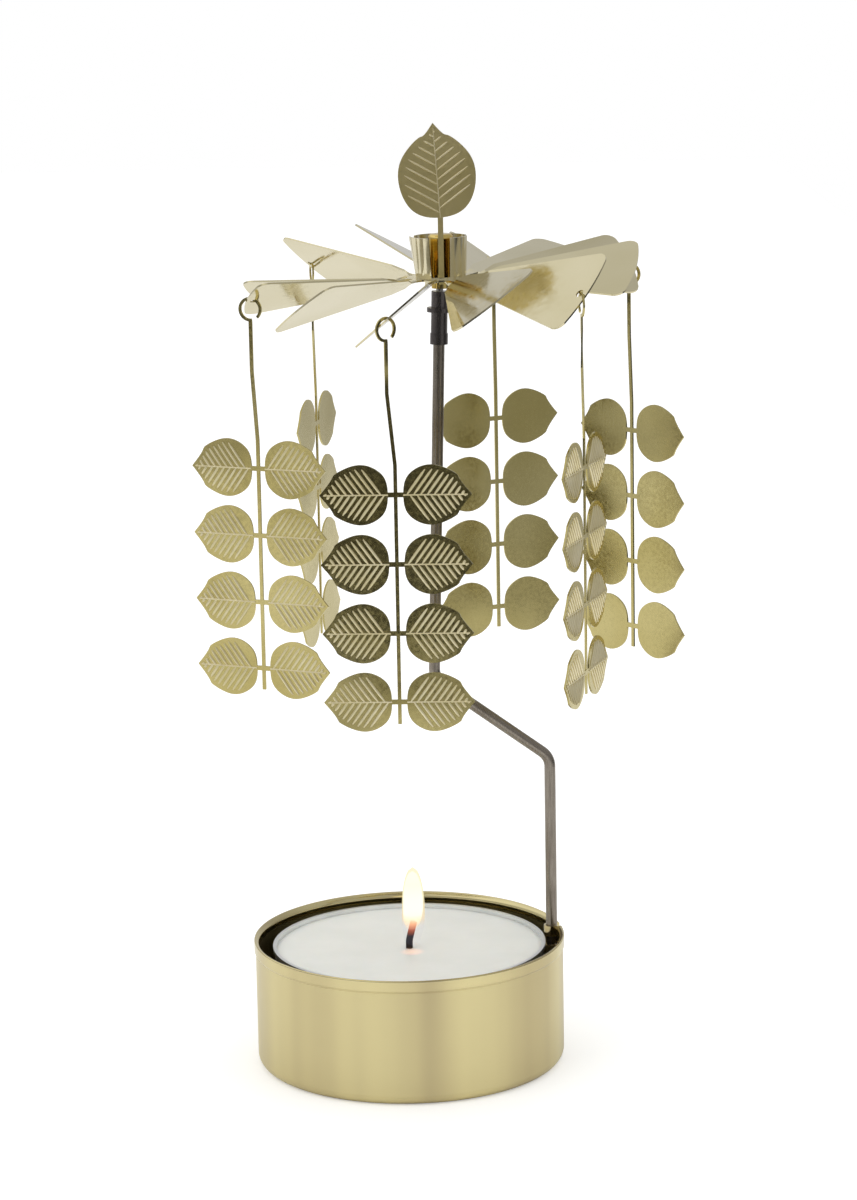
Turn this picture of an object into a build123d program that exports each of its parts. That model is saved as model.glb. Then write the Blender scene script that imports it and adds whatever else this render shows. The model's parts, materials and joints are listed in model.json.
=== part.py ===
# Rotary tealight carousel: a gold tin holds a tealight, a bent steel rod carries a
# needle above the flame, and a twelve-bladed fan wheel turns on the needle in the
# warm air, with six strings of leaves hooked through its blades.
# Millimetres. The origin is the middle of the tin's underside, +Z is up, and -Y is
# the front.
import os
from math import asin, cos, radians, sin, sqrt, tan

from build123d import *

# Tealight
tealight_radius = 19.6
tealight_height = 16.8
tealight_taper = 0.35
tealight_wall = 0.25
tealight_rim_width = 0.25
tealight_rim_height = 0.5
wax_drop = 0.1
wax_dish = 0.35
plate_radius = 6.3
plate_sheet = 0.25
plate_neck_wall = 0.35
plate_neck_height = 3.0
wick_radius = 0.5
wick_rise = 3.9
wick_straight = 1.2
wick_lean_angle = 14.0
wick_bend_radius = 3.0

# Tin, and the rod's socket: two loops pressed inward from its wall
tin_sheet = 0.3
tin_lip_rise = 1.1
tin_corner = 1.5
rim_band = 1.5
rim_slope = 0.4
rim_flare = 0.2
hem_round = 0.2
hem_bulge = 0.35
loop_pitch = 2.9
loop_clearance = 0.05
tealight_play = 0.2

# Rod and what is crimped on it: each height is counted on from the one before it
wire_diameter = 1.6
wire_end_chamfer = 0.5
mast_azimuth = 9.5
mast_lean_angle = 1.8
lower_bend_height = 43.2
crank_rise = 12.5
upper_bend_reach = 4.35
upper_leg_rise = 51.8
bend_radius = 2.8
sleeve_wall = 0.35
sleeve_grip = 4.1
sleeve_rise = 3.3
sleeve_band_step = 0.1
sleeve_band_length = 1.5
collar_brim = 0.6
collar_thickness = 0.6
collar_drop = 2.9
needle_diameter = 1.0
needle_point_length = 1.6
pivot_rise = 5.85

# Fan wheel, cut from one disc and bent by hand
wheel_radius = 27.7
wheel_sheet = 0.25
blade_count = 12
slit_width = 0.3
first_blade_azimuth = 14.3
blade_pitch_angles = (31, 12, 35, 28, 36, 22, 24, 31, 40, 35, 43, 27)
blade_lift_angles = (1.7, 3.0, -0.3, 4.9, 1.1, -5.9, -3.8, -4.3, -4.9, -0.7, -0.3, 3.6)
blade_corner = 1.5
hub_disc_radius = 4.7
neck_width = 1.7
neck_root = 0.6
neck_length = 1.2
shoulder_run = 1.6
hook_hole_play = 0.22
hook_bridge = 0.5
hook_hole_side = -0.4

# Bearing cap, crown and finial
hub_clearance = 0.425
needle_play = 0.45
cap_wall = 0.25
cap_corner = 0.6
cap_ledge = 0.55
cap_bead_lip = 0.15
cap_bead_length = 1.3
pivot_gap = 0.03
crown_radius = 3.5
crown_height = 5.7
crown_sheet = 0.25
crown_tab_angle = 64.0
crown_tab_azimuths = (45.0, 135.0, 215.0, 322.0)
crown_tab_lean_angles = (2.0, 3.0, 9.0, 2.0)
finial_length = 13.0
finial_width = 10.7
finial_sheet = 0.25
finial_stem_width = 0.75
finial_stem_rise = 8.85
finial_stem_inset = 0.6
finial_foot = 0.5
finial_lean_angle = 3.8

# Leaf strings
string_sheet = 0.25
ring_inner_radius = 1.3
ring_bar = 0.4
ring_gap_angle = 34.0
ring_turn_angle = 35.0
hook_clearance = 0.06
stem_width = 0.5
row_count = 4
row_pitch = 9.44
first_row_drop = 22.15
tail_length = 3.05
crossbar_height = 0.65
leaf_gap = 2.05
leaf_length = 9.17
leaf_width = 8.0
twist_drop = 3.5
twist_length = 5.0
stem_shifts = (-0.4, -0.1, -0.7, 0.6, 0.9, 0.6)
leaf_turn_angles = (-28.0, -14.0, -24.0, -3.0, -42.0, -29.0)

# Half of a leaf's outline, from its round end to its point: shares of its length
# and of half its width, and how fast the outline falls at the point
string_leaf_shares = ((0.0, 0.0), (0.08, 0.68), (0.25, 0.95), (0.5, 0.99), (0.77, 0.71), (1.0, 0.0))
string_leaf_fall_share = 2.6
finial_leaf_shares = ((0.0, 0.0), (0.13, 0.77), (0.42, 1.0), (0.67, 0.84), (0.86, 0.36), (1.0, 0.0))
finial_leaf_fall_share = 1.8

# One overrun serves all cuts
overrun = 1.0

# Radii outward from the tealight: loop, rod's foot, wall and rim
wire_radius = wire_diameter / 2
needle_radius = needle_diameter / 2
loop_inner = wire_radius + loop_clearance
loop_outer = loop_inner + tin_sheet
foot_radius = tealight_radius + tealight_play + loop_outer
wall_inner_radius = foot_radius + loop_inner
wall_radius = wall_inner_radius + tin_sheet
tin_radius = wall_radius + rim_flare

# Radii outward from the rod and from the needle
sleeve_radius = wire_radius + sleeve_wall
sleeve_band_radius = sleeve_radius + sleeve_band_step
collar_radius = sleeve_radius + collar_brim
cap_bore_radius = needle_radius + needle_play
cap_neck_radius = cap_bore_radius + cap_wall
cap_bead_radius = cap_neck_radius + cap_bead_lip
cap_radius = cap_neck_radius + cap_ledge

# Radii outward from the wheel's hub
neck_inner_radius = hub_disc_radius + neck_root
neck_outer_radius = neck_inner_radius + neck_length
shoulder_radius = neck_outer_radius + shoulder_run

# Heights up from the tin's underside
tealight_top = tin_sheet + tealight_height
tin_height = tealight_top + tin_lip_rise
upper_bend_height = lower_bend_height + crank_rise
rod_top_height = upper_bend_height + upper_leg_rise
sleeve_bottom_height = rod_top_height - sleeve_grip
sleeve_top_height = rod_top_height + sleeve_rise
collar_height = sleeve_top_height - collar_drop
cap_foot = sleeve_top_height + hub_clearance
disc_bottom = cap_foot + cap_bead_length
wheel_height = disc_bottom + wheel_sheet / 2
disc_top = disc_bottom + wheel_sheet
pivot_height = wheel_height + pivot_rise

# Directions and places of the leaning mast and the upright rotor axis
up = Vector(0, 0, 1)


def level_direction(azimuth):
    """Unit vector that lies level and points along an azimuth in degrees."""
    return Vector(cos(radians(azimuth)), sin(radians(azimuth)), 0)


mast_out = level_direction(mast_azimuth)
mast_side = mast_out.cross(up)
mast_axis = mast_out * sin(radians(mast_lean_angle)) + up * cos(radians(mast_lean_angle))
mast_slope = tan(radians(mast_lean_angle))
pivot_offset = upper_bend_reach + (pivot_height - upper_bend_height) * mast_slope
# Upright plane of the rod: x runs outward from the tin's middle, y runs up
mast_plane = Plane(origin=(0, 0, 0), x_dir=mast_out, z_dir=mast_side)
rotor_centre = mast_out * pivot_offset + up * wheel_height
rotor_axis = Axis(rotor_centre, up)


def mast_reach(height):
    """Distance of the leaning leg's middle line from the tin's axis at a height."""
    return upper_bend_reach + (height - upper_bend_height) * mast_slope


def across_mast(height):
    """Plane square to the leaning leg at a height."""
    middle = mast_out * mast_reach(height) + up * height
    return Plane(origin=middle, x_dir=mast_side, z_dir=mast_axis)


def along_mast(low, high):
    """Length of the leaning leg between two heights."""
    return (high - low) / cos(radians(mast_lean_angle))


def rotor_level(height):
    """Level plane whose middle is on the rotor's axis."""
    return Plane(origin=(rotor_centre.X, rotor_centre.Y, height))


def rotor_upright(azimuth):
    """Upright plane through the rotor's axis: x runs outward, y is the real height."""
    outward = level_direction(azimuth)
    return Plane(
        origin=(rotor_centre.X, rotor_centre.Y, 0),
        x_dir=outward,
        z_dir=outward.cross(up),
    )


def leaf_outline(length, width, shares, fall):
    """Flat leaf with its round end at the origin and its point along +x."""
    half_width = width / 2
    upper = [(along * length, across * half_width) for along, across in shares]
    lower = [(x, -y) for x, y in upper]
    with BuildSketch() as leaf:
        with BuildLine():
            Spline(*upper, tangents=[(0, 1), (length, -fall * half_width)])
            Spline(*lower, tangents=[(0, -1), (length, fall * half_width)])
        make_face()
    return leaf.sketch


os.makedirs("parts", exist_ok=True)

# Tin
band_bottom = tin_height - rim_band
band_middle = (band_bottom + tin_height) / 2
slope_bottom = band_bottom - rim_slope
with BuildPart() as base_tin:
    with BuildSketch(Plane.XZ):
        with BuildLine():
            Line((0, 0), (wall_radius - tin_corner, 0))
            RadiusArc((wall_radius - tin_corner, 0), (wall_radius, tin_corner), -tin_corner)
            Polyline(
                (wall_radius, tin_corner),
                (wall_radius, slope_bottom),
                (tin_radius, band_bottom),
                (tin_radius, tin_height - hem_round),
            )
            RadiusArc(
                (tin_radius, tin_height - hem_round),
                (tin_radius - hem_round, tin_height),
                -hem_round,
            )
            # Inner side of the rim's rolled hem
            ThreePointArc(
                (tin_radius - hem_round, tin_height),
                (wall_inner_radius - hem_bulge, band_middle),
                (wall_inner_radius, band_bottom),
            )
            Line((wall_inner_radius, band_bottom), (wall_inner_radius, tin_corner))
            RadiusArc(
                (wall_inner_radius, tin_corner),
                (wall_radius - tin_corner, tin_sheet),
                tin_corner - tin_sheet,
            )
            Polyline((wall_radius - tin_corner, tin_sheet), (0, tin_sheet), (0, 0))
        make_face()
    revolve(axis=Axis.Z)
    # Each loop, as tall as the rim band: a window in the wall, and the strip that was
    # pressed out of it
    for loop_top, wall in ((tin_height, tin_radius), (tin_height - loop_pitch, wall_radius)):
        loop_plane = Plane(origin=up * loop_top, x_dir=mast_out, z_dir=up * -1)
        window_depth = wall + overrun - foot_radius
        arm_length = wall - tin_sheet / 2 - foot_radius
        with BuildSketch(loop_plane):
            with Locations((foot_radius + window_depth / 2, 0)):
                Rectangle(window_depth, 2 * loop_inner)
        extrude(amount=rim_band, mode=Mode.SUBTRACT)
        with BuildSketch(loop_plane):
            with Locations((foot_radius, 0)):
                Circle(loop_outer)
            with Locations((foot_radius + arm_length / 2, 0)):
                Rectangle(arm_length, 2 * loop_outer)
                Rectangle(arm_length + overrun, 2 * loop_inner, mode=Mode.SUBTRACT)
            with Locations((foot_radius, 0)):
                Circle(loop_inner, mode=Mode.SUBTRACT)
        extrude(amount=rim_band)
base_tin.part.label = "base_tin"
export_step(base_tin.part, "parts/base_tin.step")

# Bent rod, whose chamfered foot stands in the curve between the tin's wall and floor
inner_corner = tin_corner - tin_sheet
foot_height = tin_corner - sqrt(inner_corner**2 - (inner_corner - loop_clearance) ** 2)
rod_points = (
    (foot_radius, foot_height - wire_end_chamfer + loop_clearance),
    (foot_radius, lower_bend_height),
    (mast_reach(upper_bend_height), upper_bend_height),
    (mast_reach(rod_top_height), rod_top_height),
)
with BuildPart() as support_rod:
    with BuildLine(mast_plane) as rod_route:
        FilletPolyline(*rod_points, radius=bend_radius)
    with BuildSketch(Plane(origin=rod_route.line @ 0, z_dir=rod_route.line % 0)):
        Circle(wire_radius)
    sweep(path=rod_route.line)
    chamfer(support_rod.edges().sort_by(Axis.Z)[0], wire_end_chamfer)
support_rod.part.label = "support_rod"
export_step(support_rod.part, "parts/support_rod.step")

# Sleeve crimped on the rod's upper end, with a wider band at its foot
with BuildPart() as spindle_sleeve:
    with BuildSketch(across_mast(sleeve_bottom_height)):
        Circle(sleeve_radius)
        Circle(wire_radius, mode=Mode.SUBTRACT)
    extrude(amount=along_mast(sleeve_bottom_height, sleeve_top_height))
    with BuildSketch(across_mast(sleeve_bottom_height)):
        Circle(sleeve_band_radius)
        Circle(wire_radius, mode=Mode.SUBTRACT)
    extrude(amount=sleeve_band_length)
spindle_sleeve.part.label = "spindle_sleeve"
export_step(spindle_sleeve.part, "parts/spindle_sleeve.step")

# Collar pressed on the sleeve
with BuildPart() as spindle_collar:
    with BuildSketch(across_mast(collar_height)):
        Circle(collar_radius)
        Circle(sleeve_radius, mode=Mode.SUBTRACT)
    extrude(amount=collar_thickness)
spindle_collar.part.label = "spindle_collar"
export_step(spindle_collar.part, "parts/spindle_collar.step")

# Needle: a shank that fills the sleeve's bore above the rod, a thin stem and a point
needle_stem_length = along_mast(sleeve_top_height, pivot_height) - needle_point_length
needle_point_foot = across_mast(sleeve_top_height).offset(needle_stem_length).origin
with BuildPart() as pivot_needle:
    with BuildSketch(across_mast(rod_top_height)):
        Circle(wire_radius)
    extrude(amount=along_mast(rod_top_height, sleeve_top_height))
    with BuildSketch(across_mast(sleeve_top_height)):
        Circle(needle_radius)
    extrude(amount=needle_stem_length)
    with BuildSketch(Plane(origin=needle_point_foot, x_dir=mast_axis, z_dir=mast_side)):
        with BuildLine():
            Polyline((0, 0), (needle_point_length, 0), (0, needle_radius), (0, 0))
        make_face()
    revolve(axis=Axis(needle_point_foot, mast_axis))
pivot_needle.part.label = "pivot_needle"
export_step(pivot_needle.part, "parts/pivot_needle.step")


# Fan wheel
def blade_plane(index):
    """Plane of a bent blade, through the rotor's centre: x runs outward along it."""
    outward = level_direction(first_blade_azimuth + index * 360 / blade_count)
    lift = radians(blade_lift_angles[index])
    pitch = radians(blade_pitch_angles[index])
    lifted_out = outward * cos(lift) + up * sin(lift)
    lifted_up = up * cos(lift) - outward * sin(lift)
    normal = lifted_up * cos(pitch) - up.cross(outward) * sin(pitch)
    return Plane(origin=rotor_centre, x_dir=lifted_out, z_dir=normal)


half_blade_angle = radians(360 / blade_count / 2)
corner_angle = half_blade_angle - asin(slit_width / 2 / wheel_radius)
corner_x = wheel_radius * cos(corner_angle)
corner_y = wheel_radius * sin(corner_angle)
shoulder_half = shoulder_radius * tan(half_blade_angle) - slit_width / 2 / cos(half_blade_angle)
hook_hole_radius = ring_bar + hook_hole_play
hook_hole_out = sqrt((wheel_radius - hook_bridge - hook_hole_radius) ** 2 - hook_hole_side**2)

with BuildSketch() as blade_flat:
    with BuildLine():
        Polyline(
            (corner_x, corner_y),
            (shoulder_radius, shoulder_half),
            (neck_outer_radius, neck_width / 2),
            (neck_outer_radius, -neck_width / 2),
            (shoulder_radius, -shoulder_half),
            (corner_x, -corner_y),
        )
        ThreePointArc((corner_x, -corner_y), (wheel_radius, 0), (corner_x, corner_y))
    make_face()
    fillet(blade_flat.vertices().group_by(Axis.X)[-1], blade_corner)

with BuildPart() as fan_wheel:
    with BuildSketch(rotor_level(disc_bottom)):
        Circle(hub_disc_radius)
        with PolarLocations(neck_inner_radius / 2, blade_count, start_angle=first_blade_azimuth):
            Rectangle(neck_inner_radius, neck_width)
        Circle(cap_neck_radius, mode=Mode.SUBTRACT)
        with Locations((0, finial_stem_inset - crown_radius)):
            Rectangle(finial_stem_width, finial_sheet, mode=Mode.SUBTRACT)
    extrude(amount=wheel_sheet)
    for blade in range(blade_count):
        bent = blade_plane(blade)
        with BuildSketch(bent.offset(-wheel_sheet / 2)):
            add(blade_flat.sketch)
            if blade % 2 == 0:
                with Locations((hook_hole_out, hook_hole_side)):
                    Circle(hook_hole_radius, mode=Mode.SUBTRACT)
        extrude(amount=wheel_sheet)
        # Twisted neck from the level hub to the bent blade
        outward = level_direction(first_blade_azimuth + blade * 360 / blade_count)
        neck_foot = rotor_centre + outward * neck_inner_radius
        neck_head = rotor_centre + bent.x_dir * neck_outer_radius
        with BuildSketch(Plane(origin=neck_foot, x_dir=up.cross(outward), z_dir=outward)):
            Rectangle(neck_width, wheel_sheet)
        with BuildSketch(Plane(origin=neck_head, x_dir=bent.y_dir, z_dir=bent.x_dir)):
            Rectangle(neck_width, wheel_sheet)
        loft(ruled=True)
fan_wheel.part.label = "fan_wheel"
export_step(fan_wheel.part, "parts/fan_wheel.step")

# Crown: a floor on the wheel's disc and four curved tabs bent up from it
with BuildPart() as hub_crown:
    with BuildSketch(rotor_level(disc_top)):
        Circle(crown_radius)
        Circle(cap_neck_radius, mode=Mode.SUBTRACT)
        with Locations((0, finial_stem_inset - crown_radius)):
            Rectangle(finial_stem_width, finial_sheet, mode=Mode.SUBTRACT)
    extrude(amount=crown_sheet)
    for azimuth, lean in zip(crown_tab_azimuths, crown_tab_lean_angles):
        spread = crown_height * tan(radians(lean))
        crown_top = disc_top + crown_height
        with BuildSketch(rotor_upright(azimuth - crown_tab_angle / 2)):
            with BuildLine():
                Polyline(
                    (crown_radius - crown_sheet, disc_top),
                    (crown_radius, disc_top),
                    (crown_radius + spread, crown_top),
                    (crown_radius + spread - crown_sheet, crown_top),
                    (crown_radius - crown_sheet, disc_top),
                )
            make_face()
        revolve(axis=rotor_axis, revolution_arc=crown_tab_angle)
hub_crown.part.label = "hub_crown"
export_step(hub_crown.part, "parts/hub_crown.step")

# Bearing cap: a thimble that sits on the crown's floor, with a neck through the crown
# and the disc that is spread into a bead below, and a flat roof on the needle's point
cap_inner_radius = cap_radius - cap_wall
cap_roof = pivot_height + pivot_gap
cap_top = cap_roof + cap_wall
cap_shoulder = disc_top + crown_sheet
cap_inner_corner = cap_corner - cap_wall
with BuildPart() as bearing_cap:
    with BuildSketch(rotor_upright(0)):
        with BuildLine():
            Line((0, cap_top), (cap_radius - cap_corner, cap_top))
            RadiusArc((cap_radius - cap_corner, cap_top), (cap_radius, cap_top - cap_corner), cap_corner)
            Polyline(
                (cap_radius, cap_top - cap_corner),
                (cap_radius, cap_shoulder),
                (cap_neck_radius, cap_shoulder),
                (cap_neck_radius, disc_bottom),
                (cap_bead_radius, disc_bottom),
                (cap_bead_radius, cap_foot),
                (cap_bore_radius, cap_foot),
                (cap_bore_radius, cap_shoulder + cap_wall),
                (cap_inner_radius, cap_shoulder + cap_wall),
                (cap_inner_radius, cap_roof - cap_inner_corner),
            )
            RadiusArc(
                (cap_inner_radius, cap_roof - cap_inner_corner),
                (cap_inner_radius - cap_inner_corner, cap_roof),
                -cap_inner_corner,
            )
            Polyline((cap_inner_radius - cap_inner_corner, cap_roof), (0, cap_roof), (0, cap_top))
        make_face()
    revolve(axis=rotor_axis)
bearing_cap.part.label = "bearing_cap"
export_step(bearing_cap.part, "parts/bearing_cap.step")

# Finial: one leaf on a strip that is pushed through the crown's floor and the disc
finial_flat = leaf_outline(finial_length, finial_width, finial_leaf_shares, finial_leaf_fall_share)
finial_stem_top = disc_top + finial_stem_rise
finial_stem_foot = disc_bottom - finial_foot
finial_middle = rotor_centre.Y + finial_stem_inset - crown_radius
with BuildPart() as finial_leaf:
    with BuildSketch(
        Plane(
            origin=(rotor_centre.X, finial_middle + finial_sheet / 2, 0),
            x_dir=(1, 0, 0),
            z_dir=(0, -1, 0),
        )
    ):
        with Locations((0, (finial_stem_top + finial_stem_foot) / 2)):
            Rectangle(finial_stem_width, finial_stem_top - finial_stem_foot)
        with Locations(Location((0, finial_stem_top - finial_stem_width / 2), 90 + finial_lean_angle)):
            add(finial_flat)
    extrude(amount=finial_sheet)
finial_leaf.part.label = "finial_leaf"
export_step(finial_leaf.part, "parts/finial_leaf.step")


# Leaf strings, each hooked through the hole of every other blade
def hook_place(index):
    """Middle of a string's ring, and the level way outward in the ring's plane."""
    bent = blade_plane(index)
    outward = first_blade_azimuth + index * 360 / blade_count
    way_out = level_direction(outward - ring_turn_angle)
    # Where the ring's plane cuts the blade: the way outward along the blade, and
    # its square in the ring's plane
    along = (way_out - up * (way_out.dot(bent.z_dir) / up.dot(bent.z_dir))).normalized()
    square = (up - along * up.dot(along)).normalized()
    # From the hole's middle to the wheel's edge, and half of the bridge between
    toward = hook_hole_out * along.dot(bent.x_dir) + hook_hole_side * along.dot(bent.y_dir)
    inset = wheel_radius**2 - hook_hole_out**2 - hook_hole_side**2
    to_edge = sqrt(toward**2 + inset) - toward
    bridge_half = (to_edge - hook_hole_radius) / 2
    bridge_middle = (
        rotor_centre
        + bent.x_dir * hook_hole_out
        + bent.y_dir * hook_hole_side
        + along * (hook_hole_radius + bridge_half)
    )
    # The bridge hangs inside the ring's top, clear of it at its two upper corners
    skew = abs(bent.z_dir.dot(up.cross(way_out)))
    half_depth = (wheel_sheet + string_sheet * skew) / 2 / bent.z_dir.dot(square)
    rise = sqrt((ring_inner_radius - hook_clearance) ** 2 - bridge_half**2) - half_depth
    return bridge_middle - square * rise, way_out


string_leaf = leaf_outline(leaf_length, leaf_width, string_leaf_shares, string_leaf_fall_share)
ring_outer_radius = ring_inner_radius + ring_bar
twist_end = twist_drop + twist_length
lean_end = first_row_drop - leaf_width / 2
string_end = first_row_drop + (row_count - 1) * row_pitch + tail_length
gap_reach = ring_outer_radius + overrun
gap_start = radians(-90) + asin(stem_width / 2 / ring_outer_radius)
gap_end = gap_start + radians(ring_gap_angle)

for number, (turn, shift) in enumerate(zip(leaf_turn_angles, stem_shifts), start=1):
    ring_centre, way_out = hook_place(2 * (number - 1))
    # The ring's upright plane, x inward, and the leaves' one, turned by the twist
    ring_x = way_out * -1
    leaf_x = ring_x.rotate(Axis.Z, turn)
    ring_face = ring_x.cross(up)
    leaf_face = leaf_x.cross(up)
    ring_plane = Plane(origin=ring_centre, x_dir=ring_x, z_dir=ring_face).offset(-string_sheet / 2)
    leaf_plane = Plane(origin=ring_centre, x_dir=leaf_x, z_dir=leaf_face).offset(-string_sheet / 2)
    with BuildPart() as leaf_string:
        # Open ring and the stretch of stem that hangs in its plane
        with BuildSketch(ring_plane):
            Circle(ring_outer_radius)
            with Locations((0, -twist_drop / 2)):
                Rectangle(stem_width, twist_drop)
            Circle(ring_inner_radius, mode=Mode.SUBTRACT)
            with BuildLine():
                Polyline(
                    (0, 0),
                    (gap_reach * cos(gap_start), gap_reach * sin(gap_start)),
                    (gap_reach * cos(gap_end), gap_reach * sin(gap_end)),
                    (0, 0),
                )
            make_face(mode=Mode.SUBTRACT)
        extrude(amount=string_sheet)
        # Twist in the stem
        with BuildSketch(Plane(origin=ring_centre - up * twist_drop, x_dir=ring_x, z_dir=up)):
            Rectangle(stem_width, string_sheet)
        with BuildSketch(Plane(origin=ring_centre - up * twist_end, x_dir=leaf_x, z_dir=up)):
            Rectangle(stem_width, string_sheet)
        loft(ruled=True)
        # Stem that leans to one side and then hangs straight, with its rows of leaf pairs
        with BuildSketch(leaf_plane):
            with BuildLine():
                Polyline(
                    (stem_width / 2, -twist_end),
                    (shift + stem_width / 2, -lean_end),
                    (shift + stem_width / 2, -string_end),
                    (shift - stem_width / 2, -string_end),
                    (shift - stem_width / 2, -lean_end),
                    (-stem_width / 2, -twist_end),
                    (stem_width / 2, -twist_end),
                )
            make_face()
            for row in range(row_count):
                drop = first_row_drop + row * row_pitch
                with Locations((shift, -drop)):
                    Rectangle(leaf_gap + crossbar_height, crossbar_height)
                right_foot = Location((shift + leaf_gap / 2, -drop), 0)
                left_foot = Location((shift - leaf_gap / 2, -drop), 180)
                with Locations(right_foot, left_foot):
                    add(string_leaf)
        extrude(amount=string_sheet)
    leaf_string.part.label = f"leaf_string_{number}"
    export_step(leaf_string.part, f"parts/leaf_string_{number}.step")

# Tealight cup, standing on the tin's floor
mouth_radius = tealight_radius - tealight_rim_width
mouth_inner_radius = mouth_radius - tealight_wall
cup_foot_radius = mouth_radius - tealight_taper
cup_foot_inner_radius = cup_foot_radius - tealight_wall
rim_bottom = tealight_top - tealight_rim_height
cup_floor_top = tin_sheet + tealight_wall
with BuildPart() as tealight_cup:
    with BuildSketch(Plane.XZ):
        with BuildLine():
            Polyline(
                (0, tin_sheet),
                (cup_foot_radius, tin_sheet),
                (mouth_radius, rim_bottom),
                (tealight_radius, rim_bottom),
                (tealight_radius, tealight_top),
                (mouth_inner_radius, tealight_top),
                (mouth_inner_radius, rim_bottom),
                (cup_foot_inner_radius, cup_floor_top),
                (0, cup_floor_top),
                (0, tin_sheet),
            )
        make_face()
    revolve(axis=Axis.Z)
tealight_cup.part.label = "tealight_cup"
export_step(tealight_cup.part, "parts/tealight_cup.step")

# Wick plate on the cup's floor, with the neck that grips the wick
wick_bottom = cup_floor_top + plate_sheet
neck_top = wick_bottom + plate_neck_height
plate_neck_radius = wick_radius + plate_neck_wall
with BuildPart() as wick_plate:
    with BuildSketch(Plane.XY.offset(cup_floor_top)):
        Circle(plate_radius)
    extrude(amount=plate_sheet)
    with BuildSketch(Plane.XY.offset(wick_bottom)):
        Circle(plate_neck_radius)
        Circle(wick_radius, mode=Mode.SUBTRACT)
    extrude(amount=plate_neck_height)
wick_plate.part.label = "wick_plate"
export_step(wick_plate.part, "parts/wick_plate.step")

# Wax, cast in the cup around the plate, its neck and the wick, with a dished top
wax_top = rim_bottom - wax_drop
wax_middle = wax_top - wax_dish
taper_share = (wax_top - cup_floor_top) / (rim_bottom - cup_floor_top)
wax_top_radius = cup_foot_inner_radius + tealight_taper * taper_share
with BuildPart() as candle_wax:
    with BuildSketch(Plane.XZ):
        with BuildLine():
            Polyline(
                (0, wax_middle),
                (0, cup_floor_top),
                (cup_foot_inner_radius, cup_floor_top),
                (wax_top_radius, wax_top),
            )
            ThreePointArc(
                (wax_top_radius, wax_top),
                (wax_top_radius / 2, wax_top - wax_dish * 3 / 4),
                (0, wax_middle),
            )
        make_face()
    revolve(axis=Axis.Z)
    with BuildSketch(Plane.XY.offset(cup_floor_top)):
        Circle(plate_radius)
    extrude(amount=plate_sheet, mode=Mode.SUBTRACT)
    with BuildSketch(Plane.XY.offset(wick_bottom)):
        Circle(plate_neck_radius)
    extrude(amount=plate_neck_height, mode=Mode.SUBTRACT)
    with BuildSketch(Plane.XY.offset(neck_top)):
        Circle(wick_radius)
    extrude(amount=wax_top - neck_top, mode=Mode.SUBTRACT)
candle_wax.part.label = "candle_wax"
export_step(candle_wax.part, "parts/candle_wax.step")

# Wick, straight through the wax and bent to one side above it
wick_knee = wax_middle + wick_straight
wick_top = wax_middle + wick_rise
wick_reach = (wick_top - wick_knee) * tan(radians(wick_lean_angle))
with BuildPart() as wick:
    with BuildLine(Plane.XZ) as wick_route:
        FilletPolyline(
            (0, wick_bottom),
            (0, wick_knee),
            (wick_reach, wick_top),
            radius=wick_bend_radius,
        )
    with BuildSketch(Plane.XY.offset(wick_bottom)):
        Circle(wick_radius)
    sweep(path=wick_route.line)
wick.part.label = "wick"
export_step(wick.part, "parts/wick.step")
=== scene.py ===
# %% [markdown]
# # A rotary tealight carousel
# A tealight stands in a gold tin. Its warm air turns a fan wheel on a needle above it,
# and six strings of small leaves hang from the wheel. The solids come from CAD, so this
# lesson only dresses them: it gives each one the metal, wax or cotton that it is made
# of, presses the veins into the leaves, lights the wick, and sets up camera and light.

import json
import math

import bmesh
import bpy
from mathutils import Matrix, Vector

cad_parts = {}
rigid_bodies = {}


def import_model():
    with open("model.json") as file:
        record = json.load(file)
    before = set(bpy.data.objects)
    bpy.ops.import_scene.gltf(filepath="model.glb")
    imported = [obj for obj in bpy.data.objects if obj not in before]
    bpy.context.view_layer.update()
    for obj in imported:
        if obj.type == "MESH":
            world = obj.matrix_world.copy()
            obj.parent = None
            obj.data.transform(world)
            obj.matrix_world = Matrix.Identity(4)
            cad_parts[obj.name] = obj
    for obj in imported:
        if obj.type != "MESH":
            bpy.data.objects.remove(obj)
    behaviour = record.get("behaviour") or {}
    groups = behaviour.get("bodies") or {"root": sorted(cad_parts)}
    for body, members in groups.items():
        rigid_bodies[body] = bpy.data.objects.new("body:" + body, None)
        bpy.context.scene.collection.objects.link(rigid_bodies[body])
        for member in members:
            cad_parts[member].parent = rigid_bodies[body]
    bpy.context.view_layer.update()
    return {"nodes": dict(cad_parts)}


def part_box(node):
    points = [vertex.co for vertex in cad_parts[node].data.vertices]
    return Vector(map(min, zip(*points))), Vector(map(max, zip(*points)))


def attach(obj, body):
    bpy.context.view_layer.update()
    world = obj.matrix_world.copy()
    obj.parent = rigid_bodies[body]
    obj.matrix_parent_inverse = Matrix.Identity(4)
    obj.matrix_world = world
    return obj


for old in list(bpy.data.objects):
    bpy.data.objects.remove(old)
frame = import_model()
parts = frame["nodes"]
mm = 0.001

# %% [markdown]
# Colours are easiest to compare with a photograph as sRGB hex values, but shaders mix
# light, which is linear. One function turns the first into the second. A second small
# function adds any node with its settings and its links, so that each material below
# reads as a list of what it is made from. A third builds the matrix that sets a piece,
# or the camera, by the directions of its own three axes.


# %% Colour and node helpers
def linear(hex_colour):
    """Linear RGBA of an sRGB hex colour."""
    shares = [int(hex_colour[i : i + 2], 16) / 255 for i in (1, 3, 5)]
    rgb = [s / 12.92 if s <= 0.04045 else ((s + 0.055) / 1.055) ** 2.4 for s in shares]
    return (*rgb, 1.0)


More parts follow.
